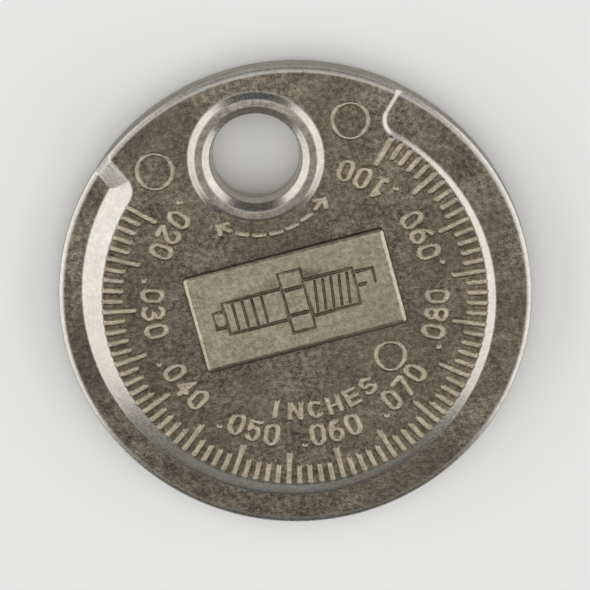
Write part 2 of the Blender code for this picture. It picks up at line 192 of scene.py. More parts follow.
WALL_RADIUS = DISC_RADIUS - LIP_WIDTH
HOLE_CENTRE = np.array((0.0, DISC_RADIUS - RING_SETBACK - RING_BASE_RADIUS))
LABEL_BASELINE = WALL_RADIUS - TICK_SETBACK - LONG_TICK_LENGTH - LABEL_SETBACK
UNIT_BASELINE = LABEL_BASELINE - LABEL_HEIGHT - UNIT_SETBACK
FRONT, BACK = 1, -1

# Camera: it looks down, tilted towards the picture's top, and sees the gauge turned a little
CAMERA_DISTANCE = 0.29
CAMERA_TILT = math.radians(15)
GAUGE_TURN = math.radians(15)
VIEW_WIDTH = 0.045
NEAREST_SEEN = 0.01

# Lights: a wide soft box low down at each side, and a sky that is brightest overhead
LAMP_RISE = 0.42
LAMP_DISTANCE = 0.6
LAMP_WIDTH = 1.2
LAMP_HEIGHT = 0.45
LAMP_STRENGTH = 1.6
SKY = {"From Min": 0.55, "From Max": 0.95, "To Min": 0.10, "To Max": 1.2}

# Floor
FLOOR_REACH = 2.0
FLOOR_COLOUR = (0.86, 0.86, 0.85, 1)
FLOOR_ROUGHNESS = 0.9
FLOOR_SPECULAR = 0.1


def polar(radius, angle):
    """A point of the face, with its angle counted from -Y, counterclockwise."""
    return np.stack((radius * np.sin(angle), -radius * np.cos(angle)), axis=-1)


def angle_of(points):
    return np.arctan2(points[..., 0], -points[..., 1])


def smooth_min(a, b, blend):
    overlap = np.maximum(blend - np.abs(a - b), 0)
    return np.minimum(a, b) - overlap**2 / (4 * blend)


def smooth_max(a, b, blend):
    return -smooth_min(-a, -b, blend)


def ramp(values, start, stop):
    """0 before start and 1 after stop, with a soft change between them."""
    share = np.clip((values - start) / (stop - start), 0, 1)
    return share * share * (3 - 2 * share)


# Lip


def scale_angle(gap):
    """Where on the scale the lip is this thick."""
    return ((gap - SMALLEST_GAP) / (LARGEST_GAP - SMALLEST_GAP) - 0.5) * SCALE_SWEEP


def lip_height(angle):
    """Half the lip's thickness, level past the two ends of the scale."""
    share = np.clip(np.asarray(angle) / SCALE_SWEEP + 0.5, 0, 1)
    return (SMALLEST_GAP + share * (LARGEST_GAP - SMALLEST_GAP)) / 2


def wall_run(angle):
    """How far out from its top edge the sloped wall reaches the lip."""
    return (HALF_THICKNESS - lip_height(angle)) / WALL_HEIGHT_PER_WIDTH


def end_line(side):
    """The straight line that ends the lip: its direction outward, the one past it, and its place across.

    It starts at the margin past the scale, radially at the thick end and slanted at the thin end.
    """
    slant = THIN_END_SLANT if side == BACK else 0.0
    angle = side * (SCALE_SWEEP / 2 + slant)
    outward = polar(1.0, angle)
    past = side * np.array((math.cos(angle), math.sin(angle)))
    return outward, past, LIP_END_MARGIN * math.cos(slant) - WALL_RADIUS * math.sin(slant)


def end_point(side, inset, reach):
    """The point at this distance from the disc's centre on the end line moved in."""
    outward, past, place = end_line(side)
    across = place - inset
    return outward * math.sqrt(reach**2 - across**2) + past * across


def corner_centre(side, inset):
    """Centre and radius of the rounded corner at one end, on the line this far in from the wall's top."""
    radius = max(LIP_CORNER_RADIUS - inset, SHARPEST_CORNER)
    outward, past, place = end_line(side)
    across = place - inset - radius
    along = math.sqrt((WALL_RADIUS + inset + radius) ** 2 - across**2)
    return outward * along + past * across, radius


def lip_end(side, inset):
    """The line from the tangent point on the wall's arc, round the corner and out to the rim."""
    centre, radius = corner_centre(side, inset)
    _, past, _ = end_line(side)
    inward = -centre / np.linalg.norm(centre)
    turns = np.linspace(0, 1, CORNER_STEPS)[:, None]
    bends = inward * np.cos(turns * math.pi / 2) + past * np.sin(turns * math.pi / 2)
    bends /= np.linalg.norm(bends, axis=1)[:, None]
    ends = [end_point(side, inset, DISC_RADIUS - setback) for setback, _ in rim_section()[:-1]]
    return np.vstack((centre + radius * bends, ends))


def lip_line(run):
    """A line round the whole lip, run(angle) in from the wall's top edge."""
    first = lip_end(BACK, float(run(-SCALE_SWEEP / 2)))[::-1]
    last = lip_end(FRONT, float(run(SCALE_SWEEP / 2)))
    start = float(angle_of(first[-1]))
    stop = float(angle_of(last[0]))
    angles = np.linspace(start, stop, round(DISC_SEGMENTS * (stop - start) / math.tau))[1:-1]
    return np.vstack((first, polar(WALL_RADIUS + run(angles), angles), last))


def lip_lines():
    """Lines along the wall's rounded edges, at its top and at its foot, and down its slope between them."""
    reach = WALL_ROUNDING / WALL_HEIGHT_PER_WIDTH
    for step in np.linspace(-1, 1, 2 * WALL_STEPS + 1):
        yield lip_line(lambda angle: np.full_like(angle, step * reach))
        yield lip_line(lambda angle: wall_run(angle) + step * reach)
    for share in np.linspace(0, 1, WALL_LINES + 2)[1:-1]:
        yield lip_line(lambda angle: reach + share * (wall_run(angle) - 2 * reach))


def wall_creases():
    """The crease from the centre of an end's corner to the lip, where the wall is wider than that radius."""
    for side in (BACK, FRONT):
        run = float(wall_run(side * SCALE_SWEEP / 2))
        if run > LIP_CORNER_RADIUS:
            insets = np.linspace(LIP_CORNER_RADIUS, run, CREASE_STEPS + 1)
            yield np.array([corner_centre(side, inset)[0] for inset in insets])


def depth_into_lip(points):
    """How far in from the wall's top edge a point lies. Below 0 it is on the hub."""
    beyond_wall = np.linalg.norm(points, axis=1) - WALL_RADIUS
    depth = beyond_wall.copy()
    for side in (BACK, FRONT):
        outward, past, place = end_line(side)
        centre, radius = corner_centre(side, 0.0)
        near = (points[:, 0] * side > 0) & (points @ outward > 0)
        depth[near] = np.minimum(beyond_wall, place - points @ past)[near]
        away = points - centre
        round_corner = past - centre * (past @ centre) / (centre @ centre)
        in_corner = near & (away @ outward < 0) & (away @ round_corner > 0)
        depth[in_corner] = radius - np.linalg.norm(away[in_corner], axis=1)
    return depth


# Sections of the rim and of the ring round the hole


def rim_section():
    """Distances in from the rim and heights under the face, from the face to the rim."""
    shares = np.linspace(0, 1, RIM_STEPS + 1)
    return [(RIM_EDGE_WIDTH * (1 - share), RIM_EDGE_DROP * share**RIM_EDGE_POWER) for share in shares]


def ring_height(distance):
    """Height over the hub at a distance from the hole's centre."""
    crest_out = RING_CREST_RADIUS + RING_CREST_WIDTH / 2
    crest_in = RING_CREST_RADIUS - RING_CREST_WIDTH / 2
    flank = PAD_RELIEF * (RING_BASE_RADIUS - distance) / (RING_BASE_RADIUS - crest_out)
    outside = smooth_max(smooth_min(flank, PAD_RELIEF, RING_CREST_ROUNDING), 0 * flank, RING_FOOT_ROUNDING)
    cone = FUNNEL_DEPTH * (crest_in - distance) / (crest_in - FUNNEL_RADIUS)
    deepest = HALF_THICKNESS + PAD_RELIEF - THROAT_LAND / 2
    draft = (deepest - FUNNEL_DEPTH) / (FUNNEL_RADIUS - THROAT_RADIUS)
    bore = FUNNEL_DEPTH + (FUNNEL_RADIUS - distance) * draft
    inside = smooth_max(smooth_max(cone, 0 * cone, RING_CREST_ROUNDING), bore, FUNNEL_ROUNDING)
    return outside - np.minimum(inside, deepest)


def ring_distances():
    """Distances from the hole's centre at which the ring's surface has points."""
    crest_in = RING_CREST_RADIUS - RING_CREST_WIDTH / 2
    outside = np.linspace(RING_BASE_RADIUS + 2 * RING_FOOT_ROUNDING, crest_in, FLANK_STEPS + 1)
    cone = np.linspace(crest_in, FUNNEL_RADIUS, CONE_STEPS + 1)[1:]
    bore = np.linspace(FUNNEL_RADIUS, THROAT_RADIUS, BORE_STEPS + 1)[1:]
    return np.concatenate((outside, cone, bore))


def circle(centre, radius, segments):
    return centre + polar(radius, np.arange(segments) * math.tau / segments)


# Raised and sunk marks


def edge_shape(crest, foot):
    """Distances from the middle of a mark, and the share of its relief there, down to none at its foot."""
    distances = np.linspace(crest, foot, EDGE_STEPS + 1)
    shares = (1 + np.cos(np.linspace(0, math.pi, EDGE_STEPS + 1))) / 2
    return np.append(distances, foot + FLAT_MARGIN), np.append(shares, 0.0)


class Stroke:
    """A rounded ridge along a path, or a groove where its relief is below 0."""

    def __init__(self, path, closed, crest, foot, relief):
        self.path = np.asarray(path, float)
        self.closed = closed
        self.distances, self.shares = edge_shape(crest, foot)
        self.relief = relief

    def mirrored(self, mirror):
        twin = copy.copy(self)
        twin.path = self.path * mirror
        return twin

    def outlines(self):
        yield self.path, self.closed
        for distance in self.distances:
            if distance > 0:
                yield from ((line, True) for line in around(self.path, self.closed, distance))

    def share(self, points):
        """How much of its relief the mark has at each point."""
        low, high = self.path.min(axis=0), self.path.max(axis=0)
        reach = self.distances[-1]
        near = ((points > low - reach) & (points < high + reach)).all(axis=1)
        found = np.zeros(len(points))
        distance = distance_to(points[near], self.path, self.closed)
        found[near] = np.interp(distance, self.distances, self.shares)
        return found


class Plateau:
    """The raised pad, a rectangle with rounded corners and edges."""

    def __init__(self):
        chamfer_end = PAD_CHAMFER / 2
        chamfer_drop = PAD_CHAMFER * PAD_CHAMFER_SLOPE
        foot = chamfer_end + (PAD_RELIEF - chamfer_drop) / PAD_FLANK_SLOPE
        start = chamfer_end - PAD_CHAMFER - PAD_ROUNDING / PAD_CHAMFER_SLOPE
        self.distances = np.linspace(start, foot + PAD_ROUNDING, PAD_EDGE_STEPS)
        top = np.full(PAD_EDGE_STEPS, PAD_RELIEF)
        chamfer = PAD_RELIEF - (self.distances + PAD_CHAMFER - chamfer_end) * PAD_CHAMFER_SLOPE
        flank = (foot - self.distances) * PAD_FLANK_SLOPE
        height = smooth_min(smooth_min(top, chamfer, PAD_ROUNDING), flank, PAD_ROUNDING)
        self.shares = np.clip(height / PAD_RELIEF, 0, 1)
        self.relief = PAD_RELIEF

    def mirrored(self, mirror):
        """The pad is its own mirror image."""
        return self

    def core(self):
        return np.array((PAD_LENGTH, PAD_WIDTH)) / 2 - PAD_CORNER

    def outlines(self):
        quarter = np.linspace(0, math.pi / 2, PAD_CORNER_POINTS)
        signs = ((1, 1), (-1, 1), (-1, -1), (1, -1))
        for distance in self.distances:
            corners = []
            for count, sign in enumerate(signs):
                turns = quarter + count * math.pi / 2
                bends = np.stack((np.cos(turns), np.sin(turns)), axis=-1)
                corners.append(np.array(sign) * self.core() + bends * (PAD_CORNER + distance))
            yield np.vstack(corners), True

    def share(self, points):
        away = np.abs(points) - self.core()
        beyond = np.linalg.norm(np.maximum(away, 0), axis=1) + np.minimum(away.max(axis=1), 0)
        return np.interp(beyond - PAD_CORNER, self.distances, self.shares)


def distance_to(points, path, closed):
    starts = path if closed else path[:-1]
    steps = (np.roll(path, -1, axis=0) if closed else path[1:]) - starts
    nearest = np.full(len(points), np.inf)
    for start, step in zip(starts, steps):
        share = np.clip((points - start) @ step / (step @ step), 0, 1)
        nearest = np.minimum(nearest, np.linalg.norm(points - start - share[:, None] * step, axis=1))
    return nearest


def path_steps(path, closed):
    steps = np.diff(np.vstack((path, path[:1])) if closed else path, axis=0)
    return steps / np.linalg.norm(steps, axis=1)[:, None]


def parallel(path, closed, distance):
    """The path moved to its left. Round the outside of a bend each point keeps its distance."""
    steps = path_steps(path, closed)
    if closed:
        before, after = np.roll(steps, 1, axis=0), steps
    else:
        before, after = np.vstack((steps[:1], steps)), np.vstack((steps, steps[-1:]))
    middle = before + after
    middle /= np.linalg.norm(middle, axis=1)[:, None]
    bend = before[:, 0] * after[:, 1] - before[:, 1] * after[:, 0]
    reach = np.where(bend * distance > 0, 1 / (middle * after).sum(axis=1), 1.0)
    left = np.stack((-middle[:, 1], middle[:, 0]), axis=-1)
    return path + left * (distance * reach)[:, None]


def cap(end, direction, distance):
    """Points round one end of a line, between its two sides."""
    side = np.array((direction[1], -direction[0]))
    turns = np.linspace(0, math.pi, CAP_POINTS)[1:-1, None]
    return end + distance * (side * np.cos(turns) + direction * np.sin(turns))


def around(path, closed, distance):
    """Closed outlines at a distance on both sides of a path."""
    right, left = parallel(path, closed, -distance), parallel(path, closed, distance)
    if closed:
        return [right, left]
    steps = path_steps(path, closed)
    last, first = cap(path[-1], steps[-1], distance), cap(path[0], -steps[0], distance)
    return [np.vstack((right, last, left[::-1], first))]


def letter_stroke(path, closed=False):
    return Stroke(path, closed, LETTER_CREST, LETTER_FOOT, LETTER_RELIEF)


# Letters, as strokes in a cell one wide and one high


def bow(x, y, across, up, start, stop):
    """Part of an ellipse, from one angle in degrees to another."""
    count = max(2, math.ceil(abs(stop - start) / LETTER_ARC_STEP) + 1)
    turns = np.radians(np.linspace(start, stop, count))
    return np.stack((x + across * np.cos(turns), y + up * np.sin(turns)), axis=-1)


def loop(x, y, across, up):
    return bow(x, y, across, up, 0, 360)[:-1]


def glyph(letter):
    """The strokes of a letter, each a path and whether it is closed."""
    six = [(loop(0.5, 0.3, 0.5, 0.3), True), (bow(0.9, 0.32, 0.9, 0.68, 180, 97), False)]
    if letter == "0":
        return [(np.vstack((bow(0.5, 0.68, 0.5, 0.32, 0, 180), bow(0.5, 0.32, 0.5, 0.32, 180, 360))), True)]
    if letter == "6":
        return six
    if letter == "9":
        return [(1 - path, closed) for path, closed in six]
    if letter == "8":
        return [(loop(0.5, 0.76, 0.42, 0.24), True), (loop(0.5, 0.26, 0.5, 0.26), True)]
    strokes = {
        ".": [((0.46, 0.0), (0.54, 0.0))],
        "1": [((0.55, 0.0), (0.55, 1.0)), ((0.55, 1.0), (0.2, 0.76)), ((0.25, 0.0), (0.85, 0.0))],
        "2": [np.vstack((bow(0.5, 0.68, 0.5, 0.32, 165, -35), (0.0, 0.0))), ((0.0, 0.0), (1.0, 0.0))],
        "3": [bow(0.45, 0.76, 0.47, 0.24, 150, -90), bow(0.45, 0.26, 0.53, 0.26, 90, -150)],
        "4": [((0.72, 0.0), (0.72, 1.0)), ((0.72, 1.0), (0.0, 0.3)), ((0.0, 0.3), (1.0, 0.3))],
        "5": [((0.92, 1.0), (0.12, 1.0)), ((0.12, 1.0), (0.05, 0.5)), bow(0.46, 0.33, 0.5, 0.33, 140, -150)],
        "7": [((0.0, 1.0), (1.0, 1.0)), ((1.0, 1.0), (0.35, 0.0))],
        "C": [bow(0.55, 0.5, 0.5, 0.5, 50, 310)],
        "E": [((0.05, 0.0), (0.05, 1.0))] + [((0.05, y), (0.9, y)) for y in (0.0, 0.5, 1.0)],
        "H": [((0.05, 0.0), (0.05, 1.0)), ((0.95, 0.0), (0.95, 1.0)), ((0.05, 0.5), (0.95, 0.5))],
        "I": [((0.5, 0.0), (0.5, 1.0))],
        "M": [((x, 0.0), (x, 1.0)) for x in (0.0, 1.0)] + [((x, 1.0), (0.5, 0.3)) for x in (0.0, 1.0)],
        "N": [((0.05, 0.0), (0.05, 1.0)), ((0.05, 1.0), (0.95, 0.0)), ((0.95, 0.0), (0.95, 1.0))],
        "S": [np.vstack((bow(0.5, 0.75, 0.45, 0.25, 30, 270), bow(0.5, 0.25, 0.45, 0.25, 90, -150)[1:]))],
    }
    return [(path, False) for path in strokes[letter]]


def words(text, baseline, middle, height, width, pitch):
    """Strokes of a text that runs counterclockwise with its tops towards the disc's centre."""
    advances = [DOT_SHARE_OF_PITCH if letter == "." else 1.0 for letter in text]
    places = np.cumsum(advances) - np.array(advances) / 2 - sum(advances) / 2
    turn = pitch / (baseline - height / 2)
    for letter, place in zip(text, places):
        angle = middle + place * turn
        up = -polar(1.0, angle)
        along = np.array((math.cos(angle), math.sin(angle)))
        foot = polar(baseline, angle) - width / 2 * along
        for path, closed in glyph(letter):
            local = np.asarray(path)
            points = foot + local[:, :1] * width * along + local[:, 1:] * height * up
            yield letter_stroke(points, closed)


# Marks of the two faces, as their reader sees them


def tick_places(step):
    """Each whole number of steps that lies on the scale, with its angle."""
    first = math.ceil(SMALLEST_GAP / step - ROUNDING)
    last = math.floor(LARGEST_GAP / step + ROUNDING)
    return [(count, scale_angle(count * step)) for count in range(first, last + 1)]


def tick(angle, length):
    outer = WALL_RADIUS - TICK_SETBACK - TICK_CREST
    inner = WALL_RADIUS - TICK_SETBACK - length + TICK_CREST
    return Stroke((polar(outer, angle), polar(inner, angle)), False, TICK_CREST, TICK_FOOT, TICK_RELIEF)


def inch_scale():
    """The lip thickens counterclockwise, as seen from the front."""
    for count, angle in tick_places(INCH_TICK_STEP):
        yield tick(angle, TICK_LENGTH if count % INCH_TICKS_PER_LONG else LONG_TICK_LENGTH)
        if count % INCH_TICKS_PER_LABEL == 0:
            text = f"{count * INCH_TICK_STEP / INCH:.3f}".lstrip("0")
            yield from words(text, LABEL_BASELINE, angle, LABEL_HEIGHT, INCH_LABEL_WIDTH, INCH_LABEL_PITCH)


def metric_scale():
    """The lip thickens clockwise, as seen from the back."""
    for count, angle in tick_places(METRIC_TICK_STEP):
        yield tick(-angle, TICK_LENGTH if count % METRIC_TICKS_PER_LONG else LONG_TICK_LENGTH)
        if count % METRIC_TICKS_PER_LABEL == 0:
            text = f"{count * METRIC_TICK_STEP / MILLIMETRE:.1f}"
            cell = (LABEL_HEIGHT, METRIC_LABEL_WIDTH, METRIC_LABEL_PITCH)
            yield from words(text, LABEL_BASELINE, -angle, *cell)


def bending_arrow():
    """A dashed arc with a head at each end, under the ring round the hole."""
    radius = RING_BASE_RADIUS + ARROW_SETBACK
    pitch = ARROW_SWEEP / ARROW_DASHES
    for count in range(ARROW_DASHES):
        middle = (count - (ARROW_DASHES - 1) / 2) * pitch
        angles = middle + np.linspace(-0.5, 0.5, 3) * pitch * ARROW_DASH_SHARE
        yield letter_stroke(HOLE_CENTRE + polar(radius, angles))
    for side in (BACK, FRONT):
        angle = side * ARROW_SWEEP / 2
        tip = HOLE_CENTRE + polar(radius, angle)
        back = -side * np.array((math.cos(angle), math.sin(angle)))
        outward = polar(1.0, angle)
        for slant in (-1, 1):
            barb = tip + ARROW_HEAD * (back + slant * outward) * math.sqrt(0.5)
            yield letter_stroke((tip, barb))


def pin_rings():
    upper = DISC_RADIUS - UPPER_PIN_SETBACK - PIN_RING_RADIUS
    rings = (
        (polar(upper, -UPPER_PIN_ANGLE), PIN_RING_RADIUS),
        (polar(upper, UPPER_PIN_ANGLE), PIN_RING_RADIUS),
        (polar(LOWER_PIN_DISTANCE, LOWER_PIN_ANGLE), LOWER_PIN_RING_RADIUS),
    )
    for place, radius in rings:
        path = circle(place, radius, PIN_RING_SEGMENTS)
        yield Stroke(path, True, PIN_RING_CREST, PIN_RING_FOOT, PIN_RING_RELIEF)


def box_path(left, right, half_height):
    return ((left, -half_height), (right, -half_height), (right, half_height), (left, half_height))


def plug_picture():
    """A side view of a spark plug in grooves, drawn one long and centred on the pad."""
    outlines = [
        box_path(-0.50, -0.43, 0.050),
        box_path(-0.43, -0.06, 0.100),
        box_path(-0.06, 0.08, 0.190),
        box_path(0.08, 0.38, 0.115),
    ]
    ribs = [((x, -0.08), (x, 0.08)) for x in (-0.37, -0.31, -0.25, -0.19)]
    facets = [((-0.04, y), (0.06, y)) for y in (-0.08, 0.08)]
    threads = [((x, -0.09), (x + 0.025, 0.09)) for x in (0.12, 0.17, 0.22, 0.27, 0.32)]
    electrodes = [((0.40, 0.0), (0.44, 0.0)), ((0.40, 0.085), (0.50, 0.085), (0.50, 0.0))]
    paths = [(path, True) for path in outlines]
    paths += [(path, False) for path in ribs + facets + threads + electrodes]
    for path, closed in paths:
        yield Stroke(np.array(path) * PICTURE_LENGTH, closed, 0.0, GROOVE_WIDTH / 2, -GROOVE_DEPTH)


def marks(side):
    """Everything raised or sunk on one face, in the disc's own axes, with the pad first."""
    found = [Plateau()]
    unit = "INCHES" if side == FRONT else "MM"
    found += words(unit, UNIT_BASELINE, 0.0, UNIT_HEIGHT, UNIT_WIDTH, UNIT_PITCH)
    if side == FRONT:
        found += [*inch_scale(), *bending_arrow(), *pin_rings(), *plug_picture()]
    else:
        found += metric_scale()
    return [mark.mirrored((side, 1.0)) for mark in found]


# Faces and piece


def level(points, depth):
    """Height of the bare face over the middle of the disc."""
    wall = HALF_THICKNESS - depth * WALL_HEIGHT_PER_WIDTH
    found = smooth_min(wall, np.full(len(points), HALF_THICKNESS), WALL_ROUNDING)
    found = smooth_max(found, lip_height(angle_of(points)), WALL_ROUNDING)
    into_edge = np.clip((np.linalg.norm(points, axis=1) - DISC_RADIUS) / RIM_EDGE_WIDTH + 1, 0, 1)
    return found - RIM_EDGE_DROP * into_edge**RIM_EDGE_POWER


def bright_metal(points, depth):
    """1 on the wall, the ring and the rim, which are smoother than the cast faces."""
    edge = WALL_ROUNDING
    wall = ramp(depth, -edge, edge) * ramp(wall_run(angle_of(points)) - depth, -edge, edge)
    from_hole = np.linalg.norm(points - HOLE_CENTRE, axis=1)
    ring = 1 - ramp(from_hole, RING_BASE_RADIUS - edge, RING_BASE_RADIUS + edge)
    off_crest = np.abs(from_hole - RING_CREST_RADIUS) - RING_CREST_WIDTH / 2
    ring *= 1 - RING_CREST_DULLNESS * (1 - ramp(off_crest, -edge, edge))
    rim_start = DISC_RADIUS - RIM_EDGE_WIDTH
    rim = ramp(np.linalg.norm(points, axis=1), rim_start, rim_start + RIM_FADE * RIM_EDGE_WIDTH)
    return np.maximum.reduce((wall, ring, rim))


def face(side):
    """Points, triangles, and masks of finish, painted shade and painted sheen of one face, facing out."""
    found = marks(side)
    rim_lines = [circle(np.zeros(2), DISC_RADIUS - setback, DISC_SEGMENTS) for setback, _ in rim_section()]
    ring_lines = [circle(HOLE_CENTRE, distance, HOLE_SEGMENTS) for distance in ring_distances()]
    outlines = [(line, True) for line in rim_lines]
    outlines += [(line, False) for line in (*lip_lines(), *wall_creases())]
    outlines += [(line, True) for line in ring_lines]
    for mark in found:
        outlines += mark.outlines()
    points, edges = [], []
    for line, closed in outlines:
        first = len(points)
        points += [tuple(point) for point in line]
        edges += [(first + i, first + i + 1) for i in range(len(line) - 1)]
        if closed:
            edges.append((len(points) - 1, first))
    flat, _, triangles, *_ = delaunay_2d_cdt(points, edges, [], 1, MERGE)
    flat = np.array([tuple(point) for point in flat])
    triangles = np.array(triangles)
    from_hole = np.linalg.norm(flat[triangles].mean(axis=1) - HOLE_CENTRE, axis=1)
    triangles = triangles[from_hole > THROAT_RADIUS * math.cos(math.pi / HOLE_SEGMENTS)]
    used, triangles = np.unique(triangles, return_inverse=True)
    flat, triangles = flat[used], triangles.reshape(-1, 3)

    shares = [mark.share(flat) for mark in found]
    rises = np.array([mark.relief * share for mark, share in zip(found, shares)])
    depth = depth_into_lip(flat)
    height = level(flat, depth) + ring_height(np.linalg.norm(flat - HOLE_CENTRE, axis=1))
    height += rises.max(axis=0) + rises.min(axis=0)
    points = np.column_stack((flat, MIDDLE_HEIGHT + side * height))
    pad = shares[0]
    raised = [share for mark, share in zip(found[1:], shares[1:]) if mark.relief > 0]
    sunk = [share for mark, share in zip(found, shares) if mark.relief < 0]
    crest = np.max(raised, axis=0)
    finish_and_painted_light_masks = {
        "pad": pad,
        "pad_edge": ramp(pad, *PAD_EDGE_START) * (1 - ramp(pad, *PAD_EDGE_END)),
        "groove": np.max([np.zeros(len(flat)), *sunk], axis=0),
        "crest": crest,
        # flank: where the sides of the marks get wear and a painted sheen
        "flank": 4 * crest * (1 - crest),
        "bright": bright_metal(flat, depth),
    }
    return points, triangles if side == FRONT else triangles[:, ::-1], finish_and_painted_light_masks


def ring_of(points, centre, radius):
    """The points on a circle, in order of their angle round its centre."""
    away = points[:, :2] - centre
    found = np.flatnonzero(np.abs(np.linalg.norm(away, axis=1) - radius) < ON_OUTLINE)
    return found[np.argsort(np.arctan2(away[found, 1], away[found, 0]))]


def side_band(back, front, centre, bulge):
    """Rings of points up an edge: a shoulder by each face and three that form the parting line."""
    thickness = front[:, 2] - back[:, 2]
    shoulder = np.minimum(SHOULDER, thickness * MOST_OF_SIDE)
    half = np.minimum(PARTING_HALF_WIDTH, thickness * MOST_OF_SIDE)
    middle = (back[:, 2] + front[:, 2]) / 2
    outward = back[:, :2] - centre
    outward /= np.linalg.norm(outward, axis=1)[:, None]
    heights = (back[:, 2] + shoulder, middle - half, middle, middle + half, front[:, 2] - shoulder)
    rows = zip((0, 0, bulge, 0, 0), heights)
    return [np.column_stack((back[:, :2] + push * outward, height)) for push, height in rows]


def gauge_piece():
    """Both faces, joined round the rim and through the hole."""
    points, triangles, finish_and_painted_light_masks = face(FRONT)
    back_points, back_triangles, back_finish_and_painted_light_masks = face(BACK)
    everything = [points, back_points]
    faces = [*triangles.tolist(), *(back_triangles + len(points)).tolist()]
    count = len(points) + len(back_points)
    for centre, radius, bulge, turn in (
        (np.zeros(2), DISC_RADIUS, PARTING_RIDGE, 1),
        (HOLE_CENTRE, THROAT_RADIUS, -PARTING_RIDGE, -1),
    ):
        front_ring = ring_of(points, centre, radius)
        back_ring = ring_of(back_points, centre, radius)
        rows = [back_ring + len(points)]
        for ring in side_band(back_points[back_ring], points[front_ring], centre, bulge):
            rows.append(np.arange(len(ring)) + count)
            everything.append(ring)
            count += len(ring)
        rows.append(front_ring)
        for lower, upper in zip(rows, rows[1:]):
            quads = np.column_stack((lower, np.roll(lower, -1), np.roll(upper, -1), upper))
            faces += quads[:, ::turn].tolist()
    mesh = bpy.data.meshes.new("gap_gauge")
    mesh.from_pydata(np.vstack(everything).tolist(), [], faces)
    for name in finish_and_painted_light_masks:
        values = np.concatenate((finish_and_painted_light_masks[name], back_finish_and_painted_light_masks[name]))
        filler = RIM_SIDE_BRIGHTNESS if name == "bright" else 0.0
        values = np.append(values, np.full(count - len(values), filler))
        mesh.attributes.new(name, "FLOAT", "POINT").data.foreach_set("value", values.astype(np.float32))
    mesh.shade_smooth()
    piece = bpy.data.objects.new("gap_gauge", mesh)
    bpy.context.scene.collection.objects.link(piece)
    return piece


# Materials


class Nodes:
    """Short ways to add nodes to a material and join them."""

    def __init__(self, name):
        self.material = bpy.data.materials.new(name)
        self.material.use_nodes = True
        self.tree = self.material.node_tree
        self.shader = self.tree.nodes["Principled BSDF"]

    def put(self, socket, value):
        if isinstance(value, bpy.types.NodeSocket):
            self.tree.links.new(value, socket)
        else:
            socket.default_value = value

    def pattern(self, vector, scale, detail, roughness, *stretch):
        """Noise at this scale per metre, spread as its stretch says."""
        node = self.tree.nodes.new("ShaderNodeTexNoise")
        node.inputs["Scale"].default_value = scale
        node.inputs["Detail"].default_value = detail
        node.inputs["Roughness"].default_value = roughness
        self.put(node.inputs["Vector"], vector)
        return self.spread(node.outputs["Fac"], *stretch)

    def spread(self, value, low, high, to_low=0.0, to_high=1.0):
        """Maps low to high onto another range, softly."""
        node = self.tree.nodes.new("ShaderNodeMapRange")
        node.interpolation_type = "SMOOTHSTEP"
        names = ("Value", "From Min", "From Max", "To Min", "To Max")
        for name, number in zip(names, (value, low, high, to_low, to_high)):
            self.put(node.inputs[name], number)
        return node.outputs["Result"]

    def mix(self, share, a, b, blend="MIX"):
        """Between colours a and b, whose sockets have the same names as those for numbers."""
        node = self.tree.nodes.new("ShaderNodeMix")
        node.data_type = "RGBA"
        node.blend_type = blend
        self.put(node.inputs[0], share)
        self.put(node.inputs[6], a)
        self.put(node.inputs[7], b)
        return node.outputs[2]

    def blend(self, share, a, b):
        """Between numbers a and b."""
        node = self.tree.nodes.new("ShaderNodeMix")
        self.put(node.inputs[0], share)
        self.put(node.inputs[2], a)
        self.put(node.inputs[3], b)
        return node.outputs[0]

    def math(self, operation, a, b):
        node = self.tree.nodes.new("ShaderNodeMath")
        node.operation = operation
        self.put(node.inputs[0], a)
        self.put(node.inputs[1], b)
        return node.outputs[0]

    def attribute(self, name):
        node = self.tree.nodes.new("ShaderNodeAttribute")
        node.attribute_name = name
        return node.outputs["Fac"]

    def place(self):
        return self.tree.nodes.new("ShaderNodeTexCoord").outputs["Object"]

    def occlusion(self, distance, samples):
        node = self.tree.nodes.new("ShaderNodeAmbientOcclusion")
        node.samples = samples
        node.inputs["Distance"].default_value = distance
        return node.outputs["AO"]

    def bump(self, height, strength, distance):
        node = self.tree.nodes.new("ShaderNodeBump")
        self.put(node.inputs["Strength"], strength)
        node.inputs["Distance"].default_value = distance
        self.put(node.inputs["Height"], height)
        return node.outputs["Normal"]


# Patterns in the metal: scale per metre, detail, roughness, and the stretch of the noise that is spread
BLOTCHES = (700, 2.0, 0.5, 0.30, 0.70)
GRAIN = (2600, 4.0, 0.65, 0.34, 0.68)
SPECKLES = (7500, 2.0, 0.5, 0.36, 0.68)
STAINS = (160, 3.0, 0.5, 0.38, 0.66)
PATINA = (95, 1.0, 0.5, 0.36, 0.64, 0.88, 1.17)
SPECKLE_SHARE = 0.35
BLOTCH_SHARE = 0.22

# Colours of the metal: darkest, lightest, and its stains with how strong they are
CAST_METAL = ((0.034, 0.029, 0.022, 1), (0.345, 0.290, 0.222, 1), (0.088, 0.071, 0.054, 1), 0.52)
PAD_METAL = ((0.175, 0.15, 0.11, 1), (0.43, 0.37, 0.28, 1), (0.18, 0.152, 0.113, 1), 0.25)
SMOOTH_METAL = ((0.44, 0.415, 0.37, 1), (0.60, 0.575, 0.525, 1), (0.44, 0.36, 0.27, 1), 0.15)
CREST_METAL = ((0.36, 0.305, 0.23, 1), (0.70, 0.61, 0.47, 1))
# Flanks of the marks: worn metal, partly a painted sheen that stands in for glints of the side lamps
FLANK_WORN_AND_SHEEN_METAL = ((0.48, 0.415, 0.32, 1), (0.76, 0.67, 0.53, 1))
# Painted shade in the engraved grooves of the plug picture
GROOVE_SHADE_COLOUR = (0.085, 0.068, 0.049, 1)
GROOVE_SHADE_STRENGTH = 0.6

